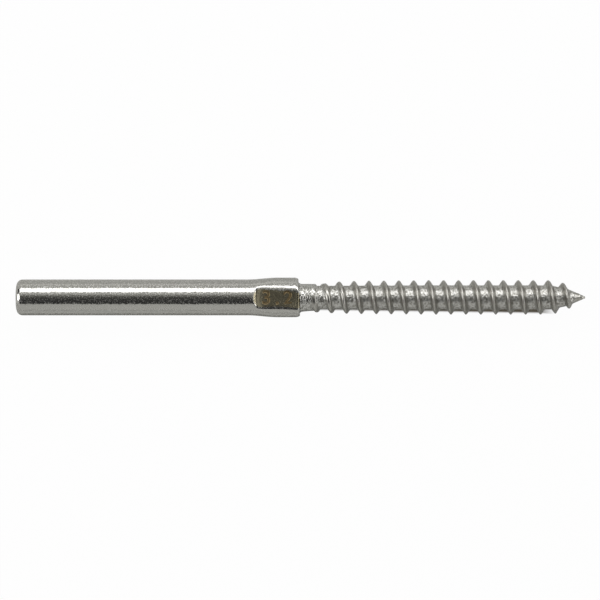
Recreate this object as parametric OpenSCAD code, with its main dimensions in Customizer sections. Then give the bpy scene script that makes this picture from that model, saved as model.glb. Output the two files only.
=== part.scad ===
// Lag-screw swage terminal for wire rope, one piece of stainless bar.
// The barrel's blind hole takes the wire and is pressed onto it, the pressed flats take a
// spanner, and the wood-screw end is driven into timber.
// The axis is X: the hole's mouth is at the origin and the point lies towards +X.

/* [Barrel] */
// Outside diameter of the barrel before it is pressed onto the wire
barrel_d = 6.25; // [5.4:0.05:8]
// Length from the mouth to the shoulder behind the shank
barrel_length = 49.35; // [44:0.05:80]
// Radius of the rounded outer edge at the mouth
mouth_round = 1.05; // [0.2:0.05:1.05]

/* [Wire hole] */
// Diameter of the blind hole for the wire
bore_d = 3.5; // [1.6:0.1:3.8]
// Depth of the hole's straight wall
bore_depth = 38; // [12:0.5:44]
// Full angle of the cone that the drill leaves
drill_angle = 118; // [90:1:140]
// Size of the broken inner edge at the mouth
mouth_chamfer = 0.15; // [0.05:0.05:0.3]

/* [Pressed collar] */
// How much wider than the barrel the pressing makes the collar
collar_spread = 0.65; // [0.1:0.05:1.4]
// Length from the shoulder back to where the barrel begins to widen
collar_length = 9.15; // [7.5:0.05:16]
// Length over which the collar widens
spread_run = 5.3; // [2:0.1:6.5]
// Length of the rounded corner at the shoulder
corner_run = 0.9; // [0.3:0.05:1.8]
// How far the rounded corner falls below the collar's side
corner_drop = 0.35; // [0.1:0.05:0.6]

/* [Spanner flats] */
// Distance across the two flats
flat_across = 4.9; // [4.4:0.05:5.4]
// Length of each flat, back from the shoulder
flat_length = 8.05; // [4:0.05:9]
// Radius of the wall that the press leaves at a flat's inner end
flat_runout = 0.65; // [0.3:0.05:1.2]

/* [Shank] */
// Diameter of the plain shank
shank_d = 4.7; // [4.3:0.02:4.84]
// Length of the plain shank, from the shoulder to the thread
shank_length = 2.9; // [1:0.1:12]
// Radius of the fillet between the shoulder and the shank
shank_fillet = 0.4; // [0.1:0.05:0.5]

/* [Thread] */
// Diameter over the crests of the fully formed thread
thread_d = 6; // [5.2:0.05:7]
// Diameter over the crests where the run-in ends
thread_start_d = 5.7; // [5:0.05:6.6]
// Advance in one turn of the single right-hand thread
thread_pitch = 2.6; // [2.2:0.1:3.4]
// Length from the shank to the tip of the point
thread_length = 46.75; // [20:0.05:90]
// Root diameter of the fully formed thread
root_d = 4.2; // [3.6:0.02:4.8]
// Root diameter beside the shank
root_start_d = 4.04; // [3.4:0.02:4.6]
// Length over which the crests and the root grow to their full diameters
growth = 20; // [8:0.5:34]
// Width of the narrow land along the crest
crest_land = 0.16; // [0.06:0.01:0.3]
// Angle of each flank from square across the axis
flank_angle = 30; // [20:1:36]
// Length over which the first turn rises from the shank
run_in = 3.9; // [1:0.1:8]
// Turn of the thread's start round the axis
start_turn = 180; // [0:5:355]

/* [Point] */
// Length over which the root falls to the tip
point_length = 6; // [4.5:0.1:9]
// Length of the steep cone at the end of the point
cone_length = 3.05; // [2.2:0.05:4]
// Diameter at the base of the steep cone
cone_d = 2.96; // [2.4:0.02:3.8]
// Bare length of the cone, where the thread has run out
bare_tip = 1.75; // [0.8:0.05:2]
// Diameter of the blunt nose
nose_d = 0.3; // [0.1:0.02:0.5]

/* [Smoothness] */
// Steps round one turn of the thread
thread_steps = 32; // [16:4:32]
// Steps round the collar
collar_steps = 64; // [32:8:72]
// Cross-sections along the collar's widening
spread_sections = 10; // [6:1:12]
// Cross-sections along the collar's rounded corner
corner_sections = 5; // [3:1:6]

/* [Hidden] */
$fn = 96;

steel = [0.66, 0.66, 0.65];
full_turn = 360;
quarter_turn = 90;
// Facets start this far inside the round face that they are joined to
seam = 0.01;
// Cutting tools stand this far clear of the steel that they leave
clear = 1;
// Rows of the thread that come this close to a square end are taken onto it
snap = 0.04;

barrel_r = barrel_d / 2;
bore_r = bore_d / 2;
shank_r = shank_d / 2;
thread_r = thread_d / 2;
mouth_wall = barrel_r - bore_r - mouth_chamfer;
mouth_r = min(mouth_round, mouth_wall - seam);

collar_start = barrel_length - collar_length;
collar_r = barrel_r + collar_spread / 2;
flat_height = flat_across / 2;
flat_start = barrel_length - flat_length;

thread_start = barrel_length + shank_length;
tip = thread_start + thread_length;
point_start = tip - point_length;
cone_start = tip - cone_length;
thread_end = tip - bare_tip;
thread_depth = (thread_d - root_d) / 2;
land_half = crest_land / 2;
foot_half = land_half + thread_depth * tan(flank_angle);
// Places of the rows of points on a flank, as shares of the way from the crest's middle to its foot
flank_rows = [0.3, 0.6, 1];
// All the rows across one ridge, as distances from the middle of its crest
ridge_rows = concat(
    [for (i = [len(flank_rows) - 1 : -1 : 0]) -flank_rows[i] * foot_half],
    [-land_half, land_half],
    [for (place = flank_rows) place * foot_half]
);
rows = len(ridge_rows);
// The rows begin and end outside the thread, so that its two ends can be cut square
spare_turns = 2;
turns = ceil(thread_length / thread_pitch) + 2 * spare_turns;
first_crest = thread_start + (start_turn / full_turn - spare_turns) * thread_pitch;

// Share from 0 to 1 that x has covered of the way between two places
function share(x, from, to) = max(0, min(1, (x - from) / (to - from)));

// The same with a gentle start and end
function eased(t) = t * t * (3 - 2 * t);

function mix(a, b, t) = a + (b - a) * t;

// Brings a shape drawn along Z onto the X axis
module along_x() {
    rotate([0, 90, 0])
        children();
}

// The barrel

module barrel_profile() {
    translate([0, mouth_r])
        square([barrel_r, collar_start - mouth_r]);
    square([barrel_r - mouth_r, collar_start]);
    translate([barrel_r - mouth_r, mouth_r])
        circle(mouth_r);
}

module barrel() {
    along_x()
        rotate_extrude()
            intersection() {
                barrel_profile();
                square([barrel_r, collar_start]);
            }
}

module wire_hole() {
    drill_cone = bore_r / tan(drill_angle / 2);
    mouth_reach = mouth_chamfer + clear;
    along_x() {
        translate([0, 0, -clear])
            cylinder(r = bore_r, h = bore_depth + clear);
        translate([0, 0, bore_depth])
            cylinder(r1 = bore_r, r2 = 0, h = drill_cone);
        translate([0, 0, -clear])
            cylinder(r1 = bore_r + mouth_reach, r2 = bore_r, h = mouth_reach);
    }
}

// The collar, which the press squeezes from round to oval

// Half width of the collar across the press, before its corner is rounded
function spread_r(x) =
    mix(barrel_r - seam, collar_r, eased(share(x, collar_start, collar_start + spread_run)));

function corner_fall(x) =
    let (t = share(x, barrel_length - corner_run, barrel_length))
    corner_drop * (1 - sqrt(1 - t * t));

function collar_half_width(x) = spread_r(x) - corner_fall(x);

// Pressing keeps the section's area, so what the collar gains in width it loses in height
function collar_half_height(x) = pow(barrel_r - seam, 2) / spread_r(x) - corner_fall(x);

function collar_section(x) = [
    for (step = [0 : collar_steps - 1])
        let (angle = full_turn * step / collar_steps)
        [x, collar_half_width(x) * cos(angle), collar_half_height(x) * sin(angle)]
];

// Faces of a skin over sections that all have the same number of points
function skin_faces(sections, points) = concat(
    [[for (p = [0 : points - 1]) p]],
    [[for (p = [points - 1 : -1 : 0]) (sections - 1) * points + p]],
    [
        for (s = [0 : sections - 2], p = [0 : points - 1])
            let (
                here = s * points + p,
                beside = s * points + (p + 1) % points
            )
            each [
                [here, here + points, beside + points],
                [here, beside + points, beside]
            ]
    ]
);

module collar() {
    corner_start = barrel_length - corner_run;
    corner_step = quarter_turn / corner_sections;
    places = concat(
        [for (i = [0 : spread_sections - 1]) collar_start + spread_run * i / (spread_sections - 1)],
        [for (i = [0 : corner_sections]) corner_start + corner_run * sin(corner_step * i)]
    );
    polyhedron(
        points = [for (x = places) each collar_section(x)],
        faces = skin_faces(len(places), collar_steps)
    );
}

// What one half of the press removes, with its round wall at the flat's inner end
module flat_cut() {
    reach = collar_r + clear;
    centre = [flat_start + flat_runout, flat_height + flat_runout];
    rotate([90, 0, 0])
        linear_extrude(2 * reach, center = true) {
            translate([centre.x, flat_height])
                square([flat_length + clear, reach]);
            translate([flat_start, centre.y])
                square([flat_length + clear, reach]);
            translate(centre)
                circle(flat_runout);
        }
}

module spanner_flats() {
    flat_cut();
    mirror([0, 0, 1])
        flat_cut();
}

// The plain shank, with the fillet that the lathe tool leaves at the shoulder

module shank() {
    translate([barrel_length, 0, 0])
        along_x()
            rotate_extrude() {
                square([shank_r, shank_length]);
                difference() {
                    square([shank_r + shank_fillet, shank_fillet]);
                    translate([shank_r + shank_fillet, shank_fillet])
                        circle(shank_fillet);
                }
            }
}

// The thread, one surface whose rows of points all follow the helix

function grown(start, full, x) = mix(start, full, share(x, thread_start, thread_start + growth));

function root_r(x) =
    x < point_start ? grown(root_start_d, root_d, x) / 2
    : x < cone_start ? mix(root_d, cone_d, share(x, point_start, cone_start)) / 2
    : mix(cone_d, nose_d, share(x, cone_start, tip)) / 2;

// The crest falls with the root along the point, and sinks into the cone at the thread's end
function crest_r(x) =
    x < point_start ? grown(thread_start_d, thread_d, x) / 2
    : root_r(x) + thread_depth * (1 - share(x, cone_start, thread_end));

// The first turn rises no higher than this, so it starts flush with the shank with a flat crest
function run_in_r(x) = mix(shank_r - seam, thread_r, share(x, thread_start, thread_start + run_in));

function flank_fall(across) = max(0, abs(across) - land_half) / tan(flank_angle);

// Radius of the surface at a distance across the ridge from the middle of its crest
function surface_r(x, across) = max(root_r(x), min(crest_r(x) - flank_fall(across), run_in_r(x)));

// That distance, from the nearest turn of the crest
function across_ridge(x, step) =
    let (turn = (x - first_crest) / thread_pitch - step / thread_steps)
    (turn - round(turn)) * thread_pitch;

// Places along the axis that lie past a square end are taken back to it
function held(x) = max(thread_start, min(thread_end, x));

function row_x(step, row) = first_crest + thread_pitch * step / thread_steps + ridge_rows[row];

function ring_point(x, r, step) =
    let (angle = full_turn * (step % thread_steps) / thread_steps)
    [x, r * cos(angle), r * sin(angle)];

// Number of the point at a step and row: a point on one of the square ends, or one of its own
function point_at(step, row) =
    row == rows ? point_at(step + thread_steps, 0)
    : row_x(step, row) <= thread_start + snap ? step % thread_steps
    : row_x(step, row) >= thread_end - snap ? thread_steps + step % thread_steps
    : 2 * thread_steps + step * rows + row;

module lag_thread() {
    square_ends = [
        for (x = [thread_start, thread_end], step = [0 : thread_steps - 1])
            ring_point(x, surface_r(x, across_ridge(x, step)), step)
    ];
    helix_rows = [
        for (step = [0 : (turns + 1) * thread_steps], row = [0 : rows - 1])
            let (x = held(row_x(step, row)))
            ring_point(x, surface_r(x, ridge_rows[row]), step)
    ];
    skin = [
        for (step = [0 : turns * thread_steps - 1], row = [0 : rows - 1])
            let (
                a = point_at(step, row),
                b = point_at(step + 1, row),
                c = point_at(step + 1, row + 1),
                d = point_at(step, row + 1)
            )
            each [
                if (a != d) [a, d, c],
                if (b != c) [a, c, b]
            ]
    ];
    start_face = [for (step = [0 : thread_steps - 1]) step];
    end_face = [for (step = [thread_steps - 1 : -1 : 0]) thread_steps + step];
    polyhedron(
        points = concat(square_ends, helix_rows),
        faces = concat([start_face], [end_face], skin)
    );
}

module bare_cone() {
    translate([thread_end, 0, 0])
        along_x()
            cylinder(r1 = root_r(thread_end) - seam, r2 = nose_d / 2, h = bare_tip);
}

module swage_terminal() {
    color(steel)
        union() {
            difference() {
                union() {
                    barrel();
                    collar();
                    shank();
                }
                wire_hole();
                spanner_flats();
            }
            lag_thread();
            bare_cone();
        }
}

swage_terminal();
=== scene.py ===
from math import atan2, cos, hypot, pi, radians, sin, sqrt, tan

import bpy
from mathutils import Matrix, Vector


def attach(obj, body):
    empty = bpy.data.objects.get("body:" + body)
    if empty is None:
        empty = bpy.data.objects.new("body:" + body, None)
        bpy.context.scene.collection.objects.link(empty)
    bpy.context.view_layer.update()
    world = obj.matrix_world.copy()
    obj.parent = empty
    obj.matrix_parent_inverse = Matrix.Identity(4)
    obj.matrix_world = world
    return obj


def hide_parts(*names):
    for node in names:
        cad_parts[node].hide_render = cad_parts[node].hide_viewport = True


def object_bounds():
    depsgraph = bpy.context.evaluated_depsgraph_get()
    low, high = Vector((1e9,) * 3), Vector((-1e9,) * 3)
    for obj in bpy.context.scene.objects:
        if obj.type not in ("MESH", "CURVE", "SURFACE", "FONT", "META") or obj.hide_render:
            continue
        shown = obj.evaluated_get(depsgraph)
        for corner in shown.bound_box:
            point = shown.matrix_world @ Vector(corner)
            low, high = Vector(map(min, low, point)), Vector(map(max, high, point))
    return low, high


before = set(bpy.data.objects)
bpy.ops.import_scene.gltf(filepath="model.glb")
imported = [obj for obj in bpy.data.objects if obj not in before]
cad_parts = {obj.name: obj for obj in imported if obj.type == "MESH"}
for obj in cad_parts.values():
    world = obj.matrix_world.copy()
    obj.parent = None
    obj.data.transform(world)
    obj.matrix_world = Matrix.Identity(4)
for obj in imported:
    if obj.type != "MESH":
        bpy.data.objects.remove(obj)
cad_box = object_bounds()

# The turned bar
# The terminal is one bar of 316 stainless steel, so barrel, collar and shank are one mesh. It is
# worked ring by ring, as on a lathe, from the bottom of the drilled hole round the mouth to the
# shank's end. The wire goes into the hole, whose edge is broken inside and round outside.

mm = 0.001
barrel_r = 3.125 * mm
barrel_length = 49.35 * mm
mouth_round = 1.05 * mm
bore_r = 1.75 * mm
bore_depth = 38 * mm
drill_angle = radians(118)
drill_cone = bore_r / tan(drill_angle / 2)
mouth_chamfer = 0.15 * mm
collar_r = 3.45 * mm
collar_start = 40.2 * mm
spread_run = 5.3 * mm
corner_run = 0.9 * mm
corner_drop = 0.35 * mm
shank_r = 2.35 * mm
shank_end = 52.25 * mm
shank_fillet = 0.4 * mm
shank_chamfer = 0.22 * mm
near = 0.01 * mm

# The rings stand close together where the press and the skewed shoulder move their points.
ring_points = 224
bore_rings = 4
mouth_rings = 10
barrel_rings = 12
collar_rings = 96
corner_rings = 16
fillet_rings = 8
shank_rings = 40


def mix(a, b, t):
    return a + (b - a) * t


def share(x, low, high):
    """How much of the way from low to high x has covered, from 0 to 1."""
    return max(0.0, min(1.0, (x - low) / (high - low)))


def stops(low, high, count):
    """Evenly spaced places after low, up to high."""
    return [mix(low, high, (i + 1) / count) for i in range(count)]


def round_ring(x, r):
    """Place, half width and half height of a round ring."""
    return x, r, r


def collar_ring(x):
    """The same for a ring of the collar, which loses in height what it gains in width."""
    t = share(x, collar_start, collar_start + spread_run)
    spread = mix(barrel_r, collar_r, t * t * (3 - 2 * t))
    t = share(x, barrel_length - corner_run, barrel_length)
    fall = corner_drop * (1 - sqrt(1 - t * t))
    return x, spread - fall, barrel_r**2 / spread - fall


rim_r = barrel_r - mouth_round
fillet_r = shank_r + shank_fillet
fillet_end = barrel_length + shank_fillet
corner_start = barrel_length - corner_run
rings = [round_ring(bore_depth, bore_r)]
rings += [round_ring(x, bore_r) for x in stops(bore_depth, mouth_chamfer, bore_rings)]
rings += [round_ring(0, bore_r + mouth_chamfer), round_ring(0, rim_r)]
rings += [
    round_ring(mouth_round * (1 - cos(angle)), rim_r + mouth_round * sin(angle))
    for angle in stops(0, pi / 2, mouth_rings)
]
rings += [round_ring(x, barrel_r) for x in stops(mouth_round, collar_start, barrel_rings)]
rings += [collar_ring(x) for x in stops(collar_start, corner_start, collar_rings)]
rings += [
    collar_ring(corner_start + corner_run * sin(angle)) for angle in stops(0, pi / 2, corner_rings)
]
rings += [round_ring(barrel_length, fillet_r)]
rings += [
    round_ring(fillet_end - shank_fillet * cos(angle), fillet_r - shank_fillet * sin(angle))
    for angle in stops(0, pi / 2, fillet_rings)
]
rings += [
    round_ring(x, shank_r) for x in stops(fillet_end, shank_end - shank_chamfer, shank_rings)
]
rings += [round_ring(shank_end, shank_r - shank_chamfer)]

bpy.ops.object.select_all(action="DESELECT")
bpy.ops.mesh.primitive_cone_add(
    vertices=ring_points, radius1=bore_r, radius2=0, depth=drill_cone,
    end_fill_type="NOTHING", location=(bore_depth + drill_cone / 2, 0, 0), rotation=(0, pi / 2, 0),
)
bar = bpy.context.object
bar.name = "terminal_steel"
bpy.ops.object.transform_apply()
bpy.ops.object.mode_set(mode="EDIT")
bpy.ops.mesh.select_mode(type="VERT")
bpy.ops.mesh.select_all(action="DESELECT")
bpy.ops.object.mode_set(mode="OBJECT")
for vertex in bar.data.vertices:
    vertex.select = vertex.co.x < bore_depth + near
bpy.ops.object.mode_set(mode="EDIT")
for (x, width, height), (next_x, next_width, next_height) in zip(rings, rings[1:]):
    bpy.ops.mesh.extrude_region_move(TRANSFORM_OT_translate={"value": (next_x - x, 0, 0)})
    bpy.ops.transform.resize(
        value=(1, next_width / width, next_height / height), center_override=(next_x, 0, 0)
    )
bpy.ops.mesh.edge_face_add()
bpy.ops.mesh.select_all(action="SELECT")
bpy.ops.mesh.normals_make_consistent(inside=False)
bpy.ops.object.mode_set(mode="OBJECT")


def linear(colour):
    """An sRGB hex colour as the linear values that a shader takes."""
    shares = [int(colour[i : i + 2], 16) / 255 for i in (1, 3, 5)]
    return (*(s / 12.92 if s <= 0.04045 else ((s + 0.055) / 1.055) ** 2.4 for s in shares), 1)


def add_node(tree, kind, inputs=None, **settings):
    """Adds a shader node with its settings. An input is a value, or the output that feeds it."""
    node = tree.nodes.new("ShaderNode" + kind)
    for name, value in settings.items():
        setattr(node, name, value)
    for name, value in (inputs or {}).items():
        if isinstance(value, bpy.types.NodeSocket):
            tree.links.new(value, node.inputs[name])
        else:
            node.inputs[name].default_value = value
    return node


def new_steel(name, colour):
    """A new metal material of a colour, and the shader that takes its finish."""
    material = bpy.data.materials.new(name)
    material.use_nodes = True
    shader = material.node_tree.nodes["Principled BSDF"]
    shader.inputs["Base Color"].default_value = linear(colour)
    shader.inputs["Metallic"].default_value = 1
    return material, shader


# Polished 316 steel: drawn bar keeps a faint orange peel under the polish, which mottles what it
# mirrors and frays the edges of highlights. The wheel leaves hair lines round the bar, drawn
# coarser than real ones so that they show, and rough specks that grey the dark reflections.
polished, shader = new_steel("polished_316_steel", "#C8C7C4")
tree = polished.node_tree
place = add_node(tree, "TexCoord").outputs["Object"]
peel_size = 0.34 * mm
peel_length = 0.3 * mm
peel_place = add_node(
    tree, "Mapping", {"Vector": place, "Scale": (1 / peel_length, 1 / peel_size, 1 / peel_size)}
)
peel = add_node(
    tree, "TexNoise", {"Vector": peel_place.outputs["Vector"], "Scale": 1, "Detail": 0}
)
peel_bump = add_node(tree, "Bump", {"Height": peel.outputs["Fac"], "Distance": 0.014 * mm})
line_space = 0.2 * mm
line_length = 2.5 * mm
line_place = add_node(
    tree, "Mapping",
    {"Vector": place, "Scale": (1 / line_space, 1 / line_length, 1 / line_length)},
)
lines = add_node(
    tree, "TexNoise", {"Vector": line_place.outputs["Vector"], "Scale": 1, "Detail": 3}
)
line_bump = add_node(
    tree, "Bump",
    {
        "Height": lines.outputs["Fac"], "Normal": peel_bump.outputs["Normal"],
        "Distance": 0.002 * mm,
    },
)
speck_size = 0.24 * mm
specks = add_node(tree, "TexNoise", {"Vector": place, "Scale": 1 / speck_size, "Detail": 2})
haze = add_node(
    tree, "MapRange",
    {
        "Value": specks.outputs["Fac"], "From Min": 0.5, "From Max": 0.62,
        "To Min": 0.08, "To Max": 0.34,
    },
)
tint = add_node(tree, "ValToRGB", {"Fac": specks.outputs["Fac"]})
tint.color_ramp.elements[0].position = 0.35
tint.color_ramp.elements[0].color = linear("#C1C0BC")
tint.color_ramp.elements[1].position = 0.6
tint.color_ramp.elements[1].color = linear("#CDCCC9")
tree.links.new(tint.outputs["Color"], shader.inputs["Base Color"])
tree.links.new(line_bump.outputs["Normal"], shader.inputs["Normal"])
tree.links.new(haze.outputs["Result"], shader.inputs["Roughness"])

# Drilled 316 steel: the drill's feed leaves rings in the hole, and no wheel reaches them. They are
# drawn about twice as coarse as real ones, so that they show.
drilled, shader = new_steel("drilled_316_steel", "#B4B3AD")
tree = drilled.node_tree
place = add_node(tree, "TexCoord").outputs["Object"]
ring_space = 0.2356 * mm
unit_bands = 10 / pi  # what a wave texture draws across one unit
feed_rings = add_node(
    tree, "TexWave",
    {"Vector": place, "Scale": 1 / (ring_space * unit_bands), "Distortion": 1.5},
    bands_direction="X",
)
ring_bump = add_node(tree, "Bump", {"Height": feed_rings.outputs["Fac"], "Distance": 0.01 * mm})
tree.links.new(ring_bump.outputs["Normal"], shader.inputs["Normal"])
shader.inputs["Roughness"].default_value = 0.38

bar.data.materials.append(polished)
bar.data.materials.append(drilled)
for face in bar.data.polygons:
    in_barrel = mouth_chamfer < face.center.x < barrel_length
    if in_barrel and hypot(face.center.y, face.center.z) < bore_r + near:
        face.material_index = 1

# Turned 316 steel: the lathe tool leaves fine grooves round the bare shank.
turned, shader = new_steel("turned_316_steel", "#C8C7C4")
tree = turned.node_tree
place = add_node(tree, "TexCoord").outputs["Object"]
groove_space = 0.22 * mm
groove_length = 0.75 * mm
groove_place = add_node(
    tree, "Mapping",
    {"Vector": place, "Scale": (1 / groove_space, 1 / groove_length, 1 / groove_length)},
)
grooves = add_node(
    tree, "TexNoise", {"Vector": groove_place.outputs["Vector"], "Scale": 1, "Detail": 1}
)
groove_bump = add_node(tree, "Bump", {"Height": grooves.outputs["Fac"], "Distance": 0.22 * mm})
tint = add_node(tree, "ValToRGB", {"Fac": grooves.outputs["Fac"]})
tint.color_ramp.elements[0].position = 0.36
tint.color_ramp.elements[0].color = linear("#A3A29D")
tint.color_ramp.elements[1].position = 0.56
tint.color_ramp.elements[1].color = linear("#D6D5D2")
tree.links.new(tint.outputs["Color"], shader.inputs["Base Color"])
tree.links.new(groove_bump.outputs["Normal"], shader.inputs["Normal"])
shader.inputs["Roughness"].default_value = 0.2

bar.data.materials.append(turned)
for face in bar.data.polygons:
    if face.center.x > barrel_length + near:
        face.material_index = 2

# The spanner flats
# Two jaws press a flat into the top and the bottom of the collar. Each jaw leaves a round wall at
# the flat's inner end, and the steel rolls over where the flat meets the collar's side. The blow
# also sets the shoulder a little back and out of square, and leaves the shank fuller on one side.

flat_height = 2.45 * mm
flat_start = 41.3 * mm
flat_runout = 0.48 * mm
flat_bow = 0.11 / mm
flat_edge = 0.26 * mm
edge_start = 48.85 * mm
edge_slope = 0.36
lip_start = 49.22 * mm
lip_slope = 1.2
foot_length = 1.3 * mm
foot_slope = 0.16
jaw_rise = 8
shoulder_rise = 2
lean_start = radians(2.5)
lean_end = radians(9)
lean_power = 4


def jaw_height(x, y):
    """Height of the pressed face. It leans across the bar, most at the shoulder, falls off at the
    outer edge and its lip, is dished at the wall's foot, and climbs the round wall behind it."""
    lean = mix(lean_start, lean_end, share(x, flat_start, barrel_length) ** lean_power)
    height = flat_height + y * tan(lean)
    height -= max(0, min(x, lip_start) - edge_start) * edge_slope
    height -= max(0, min(x, barrel_length) - lip_start) * lip_slope
    height += max(0, x - barrel_length) * shoulder_rise
    ahead = flat_start + flat_bow * y**2 + flat_runout - x
    foot = max(0, ahead + foot_length) / foot_length
    height += foot**2 * foot_length * foot_slope / 2
    if ahead <= 0:
        return height
    if ahead < flat_runout:
        return height + flat_runout - sqrt(flat_runout**2 - ahead**2)
    return height + flat_runout + (ahead - flat_runout) * jaw_rise


def lower_of(a, b, blend):
    """The lower of two heights, rounded over where they are within blend of each other."""
    overlap = max(blend - abs(a - b), 0) / blend
    return min(a, b) - overlap**2 * blend / 4


skew = 0.042
skew_start = corner_start - corner_run
skew_fade = 0.9
set_back = 0.14 * mm
shank_gain = 0.06
run_in_start = 51.2 * mm
pressed_points = set()
for vertex in bar.data.vertices:
    if collar_start < vertex.co.x < fillet_end + near and abs(vertex.co.z) > bore_r:
        side = 1 if vertex.co.z > 0 else -1
        height = abs(vertex.co.z)
        jaw = jaw_height(vertex.co.x, vertex.co.y)
        vertex.co.z = side * lower_of(height, jaw, flat_edge)
        if height > jaw + flat_edge / 2:
            pressed_points.add(vertex.index)
    if vertex.co.x > barrel_length + near and vertex.co.y < 0:
        vertex.co.y *= 1 + shank_gain * (1 - share(vertex.co.x, fillet_end, run_in_start))
    if skew_start < vertex.co.x < fillet_end + near:
        moved = share(vertex.co.x, skew_start, barrel_length)
        moved *= 1 - skew_fade * share(vertex.co.x, barrel_length, fillet_end)
        vertex.co.x -= (vertex.co.y * skew + set_back) * moved

# Pressed 316 steel: the jaws leave a dull face with a warm tint of dried press oil. Its grain is
# drawn coarser than it is, so that it shows.
pressed, shader = new_steel("pressed_316_steel", "#BBB39B")
tree = pressed.node_tree
place = add_node(tree, "TexCoord").outputs["Object"]
grain_size = 0.4 * mm
grain = add_node(tree, "TexNoise", {"Vector": place, "Scale": 1 / grain_size, "Detail": 3})
grain_bump = add_node(tree, "Bump", {"Height": grain.outputs["Fac"], "Distance": 0.035 * mm})
tree.links.new(grain_bump.outputs["Normal"], shader.inputs["Normal"])
shader.inputs["Roughness"].default_value = 0.22

bar.data.materials.append(pressed)
for face in bar.data.polygons:
    if pressed_points.issuperset(face.vertices):
        face.material_index = 3

# The lag-screw thread
# A single right-hand wood-screw thread, cold-rolled on the thinner end of the same bar. Its first
# turn rises out of the shank, and at the point both crest and root run down to a blunt nose.

pitch = 2.6 * mm
thread_r = 3 * mm
thread_start_r = 2.85 * mm
root_r = 2.1 * mm
root_start_r = 2.02 * mm
growth = 20 * mm
tip = 99 * mm
point_start = 93 * mm
cone_start = 95.95 * mm
cone_r = 1.48 * mm
nose_r = 0.15 * mm
nose_round = 0.06 * mm
nose_taper = 0.6
thread_end = 97.25 * mm
crest_half = 0.17 * mm
flank = radians(30)
foot_fillet = 0.22 * mm
run_in_rise = 0.1
off_centre = 0.17 * mm
centred_start = 53.5 * mm
centred_end = 57 * mm
crest_x = shank_end + pitch / 2

# The helix has spare turns at both ends, which are cut off. Its rows of points, here in millimetres
# from the crest's middle, stand close together across the crest and the fillet at its foot.
spare_turns = 2
turns = round((tip - shank_end) / pitch) + 2 * spare_turns
steps = 96
half_rows = [0.045, 0.09, 0.14, 0.2, 0.28, 0.37, 0.46, 0.53, 0.6, 0.7, 0.85, 1.05, 1.3]
rows = [-row * mm for row in reversed(half_rows)] + [0] + [row * mm for row in half_rows]


def root_at(x):
    """Radius between the turns: it grows along the thread and falls in two cones at the point."""
    if x < point_start:
        return mix(root_start_r, root_r, share(x, shank_end, shank_end + growth))
    if x < cone_start:
        return mix(root_r, cone_r, share(x, point_start, cone_start))
    return mix(cone_r, nose_r, share(x, cone_start, tip))


def crest_at(x):
    """Radius over the crest, which sinks into the steep cone at the thread's end."""
    if x < point_start:
        return mix(thread_start_r, thread_r, share(x, shank_end, shank_end + growth))
    return root_at(x) + (thread_r - root_r) * (1 - share(x, cone_start, thread_end))


def across_ridge(x, angle):
    """Distance along X from the middle of the nearest turn of the crest."""
    turn = (x - crest_x) / pitch - angle / (2 * pi)
    return (turn - round(turn)) * pitch


def rolled_r(x, angle):
    """Radius that the rolling dies leave: the ridge, its rounded crest and its filleted foot."""
    fall = (hypot(across_ridge(x, angle), crest_half) - crest_half) / tan(flank)
    shift = off_centre * cos(angle) * (1 - share(x, centred_start, centred_end))
    run_in = shank_r + run_in_rise * (x - run_in_start) - shift
    ridge = lower_of(crest_at(x) - fall, run_in, 2 * crest_half)
    return -lower_of(-root_at(x), -ridge, foot_fillet)


bpy.ops.object.select_all(action="DESELECT")
bpy.ops.mesh.primitive_plane_add(size=pitch)
thread = bpy.context.object
thread.name = "thread"
bpy.ops.object.mode_set(mode="EDIT")
bpy.ops.mesh.merge(type="CENTER")
bpy.ops.transform.translate(value=(crest_x - spare_turns * pitch + rows[0], root_r, 0))
for row, next_row in zip(rows, rows[1:]):
    bpy.ops.mesh.extrude_region_move(TRANSFORM_OT_translate={"value": (next_row - row, 0, 0)})
bpy.ops.object.mode_set(mode="OBJECT")
helix = thread.modifiers.new("helix", "SCREW")
helix.axis = "X"
helix.screw_offset = pitch
helix.iterations = turns
helix.steps = steps
helix.render_steps = steps
bpy.ops.object.modifier_apply(modifier=helix.name)
bpy.ops.object.mode_set(mode="EDIT")
bpy.ops.mesh.select_all(action="SELECT")
bpy.ops.mesh.remove_doubles(threshold=near / 10)
bpy.ops.object.mode_set(mode="OBJECT")
for vertex in thread.data.vertices:
    at = vertex.co
    angle = atan2(at.z, at.y)
    r = rolled_r(at.x, angle)
    vertex.co = (at.x, r * cos(angle), r * sin(angle))
bpy.ops.object.mode_set(mode="EDIT")
bpy.ops.mesh.select_all(action="SELECT")
bpy.ops.mesh.bisect(
    plane_co=(run_in_start, 0, 0), plane_no=(1, 0, 0), use_fill=True, clear_inner=True,
    threshold=near / 100,
)
bpy.ops.mesh.select_all(action="SELECT")
bpy.ops.mesh.bisect(
    plane_co=(tip - nose_round, 0, 0), plane_no=(1, 0, 0), use_fill=True, clear_outer=True,
    threshold=near / 100,
)
bpy.ops.mesh.extrude_region_move(TRANSFORM_OT_translate={"value": (nose_round, 0, 0)})
bpy.ops.transform.resize(value=(1, nose_taper, nose_taper), center_override=(tip, 0, 0))
bpy.ops.mesh.select_all(action="SELECT")
bpy.ops.mesh.normals_make_consistent(inside=False)
bpy.ops.object.mode_set(mode="OBJECT")

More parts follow.
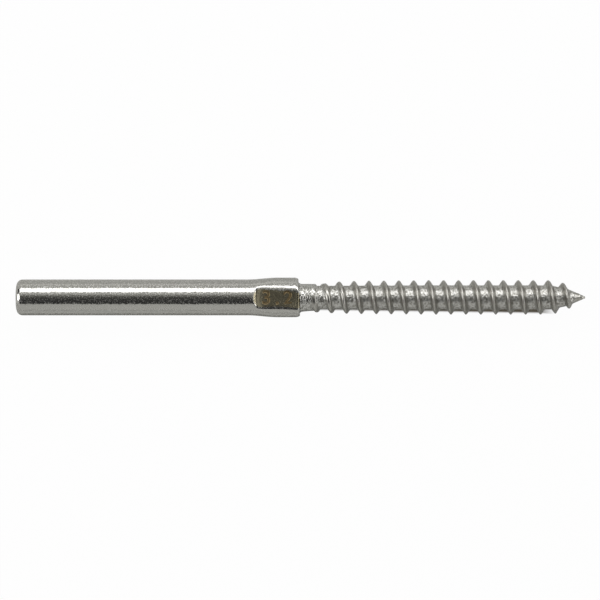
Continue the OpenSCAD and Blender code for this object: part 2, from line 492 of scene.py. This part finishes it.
# Cold-rolled 316 steel: duller than the polished barrel, with small dents and laps from the dies
# that break its highlights into patches.
rolled, shader = new_steel("rolled_316_steel", "#C8C7C4")
tree = rolled.node_tree
place = add_node(tree, "TexCoord").outputs["Object"]
dent_size = 0.42 * mm
dent_length = 0.32 * mm
dent_place = add_node(
    tree, "Mapping", {"Vector": place, "Scale": (1 / dent_length, 1 / dent_size, 1 / dent_size)}
)
dents = add_node(
    tree, "TexNoise", {"Vector": dent_place.outputs["Vector"], "Scale": 1, "Detail": 2}
)
dent_bump = add_node(tree, "Bump", {"Height": dents.outputs["Fac"], "Distance": 0.16 * mm})
tint = add_node(tree, "ValToRGB", {"Fac": dents.outputs["Fac"]})
tint.color_ramp.elements[0].position = 0.36
tint.color_ramp.elements[0].color = linear("#9D9B95")
tint.color_ramp.elements[1].position = 0.56
tint.color_ramp.elements[1].color = linear("#D4D3D0")
tree.links.new(tint.outputs["Color"], shader.inputs["Base Color"])
tree.links.new(dent_bump.outputs["Normal"], shader.inputs["Normal"])
shader.inputs["Roughness"].default_value = 0.3
thread.data.materials.append(rolled)

# Flank 316 steel: the flanks are a plainer, darker colour than root and crest, painted shade for
# the dark valleys that they face.
painted_flank_shade, shader = new_steel("painted_flank_shade_316_steel", "#B2B0AB")
shader.inputs["Roughness"].default_value = 0.3
thread.data.materials.append(painted_flank_shade)
flank_low = 0.2 * mm
flank_high = 0.45 * mm

# Burnished 316 steel: the dies press hardest on the crest and pinch the point smooth, so both have
# a clean highlight.
burnished, shader = new_steel("burnished_316_steel", "#B9B7B2")
shader.inputs["Roughness"].default_value = 0.26
thread.data.materials.append(burnished)
for face in thread.data.polygons:
    angle = atan2(face.center.z, face.center.y)
    from_crest = abs(across_ridge(face.center.x, angle))
    if face.center.x > thread_end or from_crest < flank_low:
        face.material_index = 2
    # Faces on the flanks take the colour of painted shade.
    elif from_crest < flank_high:
        face.material_index = 1


def combine(piece, tool, operation):
    """Joins the tool to the piece or cuts it out, and deletes it. Faces keep their finishes."""
    bpy.ops.object.select_all(action="DESELECT")
    bpy.context.view_layer.objects.active = piece
    boolean = piece.modifiers.new("cut", "BOOLEAN")
    boolean.operation = operation
    boolean.object = tool
    boolean.solver = "MANIFOLD"
    boolean.material_mode = "TRANSFER"
    bpy.ops.object.modifier_apply(modifier=boolean.name)
    bpy.data.objects.remove(tool)


combine(bar, thread, "UNION")

# The wire-size mark
# The size of the wire that the hole takes, in millimetres, is stamped into the upper flat. The
# stamp's grooves hold a little brown residue from the press.

mark_middle = 45.4 * mm
mark_height = 2.35 * mm
groove_depth = 0.09 * mm
groove_round = 0.12 * mm
stroke_gain = 0.09 * mm
capital_share = 0.7

bpy.ops.object.text_add(location=(mark_middle, 0, flat_height))
mark = bpy.context.object
mark.data.body = "3.2"
mark.data.size = mark_height / capital_share
mark.data.space_character = 1.4
mark.data.align_x = "CENTER"
mark.data.offset = stroke_gain - groove_round
mark.data.bevel_depth = groove_round
mark.data.bevel_resolution = 4
mark.data.resolution_u = 6
mark.scale.z = groove_depth / groove_round
bpy.ops.object.convert(target="MESH")
bpy.ops.object.transform_apply()
bpy.ops.object.mode_set(mode="EDIT")
bpy.ops.mesh.select_all(action="SELECT")
bpy.ops.mesh.remove_doubles(threshold=near / 10)
bpy.ops.mesh.normals_make_consistent(inside=False)
bpy.ops.object.mode_set(mode="OBJECT")
heights = [vertex.co.y for vertex in mark.data.vertices]
for vertex in mark.data.vertices:
    vertex.co.y -= (min(heights) + max(heights)) / 2

# Press residue: brown lubricant that has dried in the grooves.
residue, shader = new_steel("press_residue", "#8C7A5A")
shader.inputs["Metallic"].default_value = 0.8
shader.inputs["Roughness"].default_value = 0.32
mark.data.materials.append(residue)
combine(bar, mark, "DIFFERENCE")

smooth_below = radians(32)
bpy.ops.object.select_all(action="DESELECT")
bar.select_set(True)
bpy.ops.object.shade_smooth_by_angle(angle=smooth_below)
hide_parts("swage_terminal")
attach(bar, "root")

# The studio
# The terminal lies on white paper under a camera that looks straight down. Four lights, a black
# panel overhead, a grey tent and a few cards show in the steel. A strip of the paper under the
# terminal holds painted brown shadow, seen with its real contact shadow in the thread's valleys.

camera_height = 550 * mm
frame_width = 104.5 * mm
frame_middle = (49.35 * mm, -0.45 * mm)
floor_z = cad_box[0].z

bpy.ops.object.camera_add(location=(*frame_middle, camera_height), rotation=(0, 0, 0))
camera = bpy.context.object
camera.data.lens = camera.data.sensor_width * camera_height / frame_width
camera.data.clip_start = 10 * mm
camera.data.clip_end = 20
bpy.context.scene.camera = camera
bpy.context.scene.view_settings.view_transform = "Standard"


def light_path_seen(tree):
    """1 for what the camera, a mirror or glass sees directly, 0 for the light that things get."""
    path = add_node(tree, "LightPath")
    seen = path.outputs["Is Camera Ray"]
    for kind in ("Is Glossy Ray", "Is Transmission Ray"):
        either = add_node(tree, "Math", {0: seen, 1: path.outputs[kind]}, operation="MAXIMUM")
        seen = either.outputs[0]
    return seen


# White paper, whose shadows are soft and pale. The strip under the terminal is painted shadow:
# it isn't lifted to white and is brown, over the real shadow it takes. It fades at its edges, and
# the barrel and the last turn hide its ends.
white = linear("#FFFFFF")
paper_size = 8
paper_lift = 0.97
shade_middle = (47.35 * mm, -0.83 * mm)
shade_size = (90.6 * mm, 2.5 * mm)
shade_turn = -radians(0.82)
shade_fades = {"X": 0.016, "Y": 0.07}
bpy.ops.mesh.primitive_plane_add(size=paper_size, location=(0, 0, floor_z))
paper = bpy.context.object
paper.name = "paper"
white_paper = bpy.data.materials.new("white_paper")
white_paper.use_nodes = True
tree = white_paper.node_tree
tree.nodes.clear()
glow = add_node(tree, "Emission", {"Color": white, "Strength": 1})
place = add_node(tree, "TexCoord").outputs["Object"]
from_shade = add_node(
    tree, "Mapping",
    {
        "Vector": place, "Location": (*shade_middle, 0), "Rotation": (0, 0, shade_turn),
        "Scale": (*shade_size, 1),
    },
    vector_type="TEXTURE",
)
apart = add_node(tree, "SeparateXYZ", {0: from_shade.outputs["Vector"]})
outside = []
for axis, fade in shade_fades.items():
    far = add_node(tree, "Math", {0: apart.outputs[axis]}, operation="ABSOLUTE")
    past = {"Value": far.outputs[0], "From Min": 0.5 - fade, "From Max": 0.5 + fade}
    outside.append(add_node(tree, "MapRange", past).outputs[0])
clear = add_node(tree, "Math", {0: outside[0], 1: outside[1]}, operation="MAXIMUM")
# The strip's warm brown is painted shadow, on top of the real shadow that the paper takes there.
tint = add_node(tree, "ValToRGB", {"Fac": clear.outputs[0]})
tint.color_ramp.elements[0].color = linear("#A89E8E")
tint.color_ramp.elements[1].color = linear("#F7F7F7")
matt = add_node(tree, "BsdfDiffuse", {"Color": tint.outputs["Color"]})
seen = add_node(
    tree, "Math", {0: light_path_seen(tree), 1: clear.outputs[0]}, operation="MULTIPLY"
)
lift = add_node(tree, "Math", {0: seen.outputs[0], 1: paper_lift}, operation="MULTIPLY")
sheet = add_node(
    tree, "MixShader", {0: lift.outputs[0], 1: matt.outputs["BSDF"], 2: glow.outputs["Emission"]}
)
add_node(tree, "OutputMaterial", {"Surface": sheet.outputs["Shader"]})
paper.data.materials.append(white_paper)

# The world lights the paper softly and is white where it is seen.
world = bpy.data.worlds.new("white_room")
bpy.context.scene.world = world
world.use_nodes = True
tree = world.node_tree
room_level = 0.27
level = add_node(
    tree, "MapRange", {"Value": light_path_seen(tree), "To Min": room_level, "To Max": 1}
)
tree.nodes["Background"].inputs["Color"].default_value = white
tree.links.new(level.outputs["Result"], tree.nodes["Background"].inputs["Strength"])


def hang(name, material_name, surface, colour):
    """Makes the active object one that shows only in the steel, as what hangs outside the picture
    does, and returns it with its shader."""
    hung = bpy.context.object
    hung.name = name
    material = bpy.data.materials.new(material_name)
    material.use_nodes = True
    tree = material.node_tree
    tree.nodes.clear()
    shader = add_node(tree, surface, {"Color": linear(colour)})
    add_node(tree, "OutputMaterial", {"Surface": shader.outputs[0]})
    hung.data.materials.append(material)
    hung.visible_camera = False
    hung.visible_diffuse = False
    hung.visible_shadow = False
    return hung, shader


def add_card(name, centre, size, colour, tilt=0):
    """A glowing card of a size along X and Y, tilted about X."""
    bpy.ops.mesh.primitive_plane_add(size=1, location=centre, rotation=(tilt, 0, 0))
    bpy.context.object.scale = (*size, 1)
    card, glow = hang(name, name, "Emission", colour)
    return card, glow


tent_size = 2.4
bpy.ops.mesh.primitive_cube_add(size=tent_size, location=(0, 0, floor_z + tent_size / 2))
tent, _ = hang("grey_tent", "grey_cloth", "Emission", "#BFBFBB")
bpy.ops.mesh.primitive_plane_add(size=tent_size, location=(0, 0, floor_z + 2 * near))
card, _ = hang("grey_card", "grey_paper", "BsdfDiffuse", "#D8D8D4")

# The panel's colour pales towards the strip light, painted light that stands in for the strip's
# spill on it, and it grades the dark band along the barrel.
panel_height = 0.5
panel_length = 1.8
panel_middle = -0.2
panel_near = -panel_height * tan(radians(43.5))
panel_far = panel_height * tan(radians(24))
panel, glow = add_card(
    "black_panel", (panel_middle, (panel_near + panel_far) / 2, panel_height),
    (panel_length, panel_far - panel_near), "#303030",
)
tree = panel.data.materials[0].node_tree
place = add_node(tree, "SeparateXYZ", {0: add_node(tree, "TexCoord").outputs["Object"]})
across = add_node(
    tree, "MapRange", {"Value": place.outputs["Y"], "From Min": -0.5, "From Max": 0.5}
)
shade = add_node(tree, "ValToRGB", {"Fac": across.outputs["Result"]})
shade.color_ramp.elements[0].color = linear("#383838")
shade.color_ramp.elements[1].color = linear("#C4C4C0")
for spot, colour in (
    (0.42, "#3C3C3C"), (0.554, "#40403F"), (0.643, "#474745"), (0.718, "#565653"),
    (0.807, "#797975"), (0.9, "#9E9E9A"),
):
    shade.color_ramp.elements.new(spot).color = linear(colour)
tree.links.new(shade.outputs["Color"], glow.inputs["Color"])

# What else the steel mirrors: darkness beyond the mouth, a grey card of painted shadow beside the
# terminal, a pale and a dark patch overhead towards the point, and a pale card on the strip light's
# side.
add_card("dark_corner", (-0.71, 0.3, 0.18), (0.88, 0.4), "#303030", pi / 2)
# Painted shadow: this glowing grey card stands in, in the steel's reflections, for the paper's
# shadow beside the terminal.
add_card("painted_contact_shadow", (49 * mm, -6 * mm, floor_z + 3 * near), (100 * mm, 5 * mm), "#8C8C88")
add_card("light_patch", (0.17, 0, 0.49), (0.1, 0.4), "#B4B4B0")
add_card("dark_patch", (0.5, 0, 0.48), (0.36, 0.5), "#141414")
add_card("back_card", (0, 0.6, 0.07), (2.2, 1.15), "#DCDCD8", radians(7))

# The strip draws the long highlight and the round light the one on the mouth's edge. The two beyond
# the point catch the thread's flanks and the bare cone.
light_level = 2.2


def add_softbox(name, shape, length, width, distance, tilt_x, tilt_y, middle_x):
    """An area light that faces the terminal from a distance, and is brighter than white."""
    bpy.ops.object.light_add(type="AREA", rotation=(tilt_x, tilt_y, 0))
    light = bpy.context.object
    light.name = name
    back = light.rotation_euler.to_matrix().col[2]
    light.location = back * distance
    light.location.x += middle_x
    light.data.shape = shape
    light.data.size = length
    light.data.size_y = width
    area = length * width * (pi / 4 if shape == "ELLIPSE" else 1)
    light.data.energy = light_level * pi * area
    light.visible_camera = False


add_softbox(
    "strip_light", "RECTANGLE", length=1.25, width=0.27, distance=0.6,
    tilt_x=-radians(48), tilt_y=0, middle_x=0.275,
)
add_softbox(
    "mouth_light", "ELLIPSE", length=0.44, width=0.27, distance=0.4,
    tilt_x=0, tilt_y=-radians(58), middle_x=0,
)
add_softbox(
    "end_light", "RECTANGLE", length=0.12, width=0.5, distance=0.6,
    tilt_x=0, tilt_y=radians(75), middle_x=0.1,
)
add_softbox(
    "point_light", "RECTANGLE", length=0.1, width=0.3, distance=0.6,
    tilt_x=-radians(22), tilt_y=radians(47), middle_x=0.1,
)
